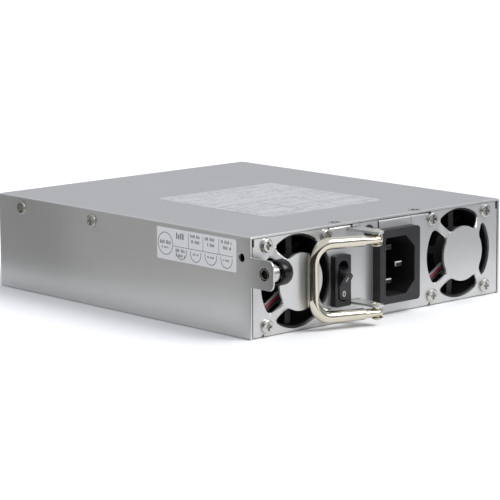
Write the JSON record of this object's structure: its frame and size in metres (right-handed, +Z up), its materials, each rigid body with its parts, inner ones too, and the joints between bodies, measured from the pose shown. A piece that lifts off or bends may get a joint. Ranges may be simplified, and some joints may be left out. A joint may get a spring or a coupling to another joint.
{
  "type": "hot swap server power supply",
  "caption": "Flat sheet-steel power supply module with fans, mains inlet, rocker switch, folding wire handle and captive thumbscrew at the front and a plug-in connector at the back.",
  "frame": {"origin": "centre of the flat underside", "axes": "+Z up; -Y the way the front panel with fans and handle faces; +Y the way the module plugs in; +X to the right seen from the front"},
  "size_m": [0.1446, 0.1837, 0.0406],
  "materials": {
    "aluminium": "extruded aluminium",
    "black_epoxy": "black epoxy packages",
    "board_green": "green glass-fibre laminate",
    "bronze": "sintered bronze",
    "can_sleeve": "sleeved aluminium cans",
    "coil_tape": "yellow winding tape",
    "contact_metal": "tin-plated brass",
    "copper": "enamelled copper wire",
    "disc_blue": "blue coated discs",
    "fan_plastic": "black glass-filled plastic",
    "ferrite": "dark ferrite",
    "film_black": "black insulating film",
    "film_cap": "yellow film capacitor case",
    "glass_tube": "glass fuse tube",
    "handle_steel": "polished nickel-plated rod",
    "inlet_plastic": "black thermoplastic",
    "knob_plastic": "satin black plastic",
    "label_grey": "silver-grey film label",
    "label_white": "pale printed film label",
    "laminations": "stacked steel laminations",
    "light_lens": "smoked clear plastic, unlit",
    "nylon_white": "natural nylon",
    "rivet_steel": "plated rivets",
    "rocker_plastic": "black plastic, white on and off marks",
    "screw_steel": "zinc-plated screws",
    "spring_steel": "bare spring steel",
    "turned_steel": "turned and plated",
    "wire_black": "black insulated wire",
    "wire_blue": "blue insulated wire",
    "wire_brown": "brown insulated wire",
    "wire_green": "green and yellow insulated wire",
    "wire_red": "red insulated wire",
    "wire_white": "white insulated wire",
    "zinc_steel": "bright zinc-coated sheet steel, faint grain"
  },
  "bodies": {
    "root": {"board_standoffs": "turned_steel", "bridge_rectifier": "black_epoxy", "bulk_capacitors": "can_sleeve", "captive_ferrule": "turned_steel", "captive_spring": "spring_steel", "chassis_tray": "zinc_steel", "choke_bases": "black_epoxy", "choke_cores": "ferrite", "choke_windings": "copper", "connector_contacts": "contact_metal", "connector_housing": "black_epoxy", "control_board": "board_green", "control_chips": "black_epoxy", "disc_capacitors": "disc_blue", "earth_stud": "screw_steel", "earth_wire": "wire_green", "fan_bearings": "bronze", "fan_black_wires": "wire_black", "fan_headers": "nylon_white", "fan_red_wires": "wire_red", "fan_screws": "screw_steel", "fan_stators": "laminations", "fan_white_wires": "wire_white", "film_capacitors": "film_cap", "fuse_clips": "contact_metal", "fuse_tube": "glass_tube", "handle_lugs": "zinc_steel", "handle_rivets": "rivet_steel", "heatsinks": "aluminium", "inlet_body": "inlet_plastic", "inlet_pins": "contact_metal", "inner_screws": "screw_steel", "insulating_sheet": "film_black", "left_fan_frame": "fan_plastic", "lid_screws": "screw_steel", "light_holder": "inlet_plastic", "live_wires": "wire_brown", "main_board": "board_green", "neutral_wire": "wire_blue", "output_capacitors": "can_sleeve", "power_semiconductors": "black_epoxy", "right_fan_frame": "fan_plastic", "side_label": "label_white", "side_screws": "screw_steel", "status_light": "light_lens", "switch_body": "inlet_plastic", "switch_terminals": "contact_metal", "top_cover": "zinc_steel", "top_label": "label_grey", "transformer_coils": "coil_tape", "transformer_cores": "ferrite"},
    "handle": {"handle_rod": "handle_steel"},
    "rocker": {"switch_rocker": "rocker_plastic"},
    "captive_slider": {"captive_washer": "turned_steel"},
    "captive_fastener": {"captive_knob": "knob_plastic", "captive_screw": "turned_steel"},
    "left_fan": {"left_fan_rotor": "fan_plastic", "left_fan_shaft": "turned_steel"},
    "right_fan": {"right_fan_rotor": "fan_plastic", "right_fan_shaft": "turned_steel"}
  },
  "joints": [
    {"name": "handle_fold", "type": "hinge", "parent": "root", "child": "handle", "pos_m": [-0.0149, -0.094, 0.0199], "axis": [0, 0, 1], "range_deg": [0, 110]},
    {"name": "rocker_tilt", "type": "hinge", "parent": "root", "child": "rocker", "pos_m": [-0.02345, -0.07805, 0.01755], "axis": [-1, 0, 0], "range_deg": [0, 34]},
    {"name": "thumbscrew_push", "type": "slide", "parent": "root", "child": "captive_slider", "axis": [-1, 0, 0], "range_m": [0, 0.004], "stiffness_N_per_m": 120, "springref_m": -0.003, "deforming": ["captive_spring"]},
    {"name": "thumbscrew_turn", "type": "hinge", "parent": "captive_slider", "child": "captive_fastener", "pos_m": [-0.071, -0.089, 0.0269], "axis": [1, 0, 0], "continuous": true},
    {"name": "left_fan_spin", "type": "hinge", "parent": "root", "child": "left_fan", "pos_m": [-0.0464, -0.061, 0.02025], "axis": [0, 1, 0], "continuous": true},
    {"name": "right_fan_spin", "type": "hinge", "parent": "root", "child": "right_fan", "pos_m": [0.046, -0.061, 0.02025], "axis": [0, 1, 0], "continuous": true}
  ]
}
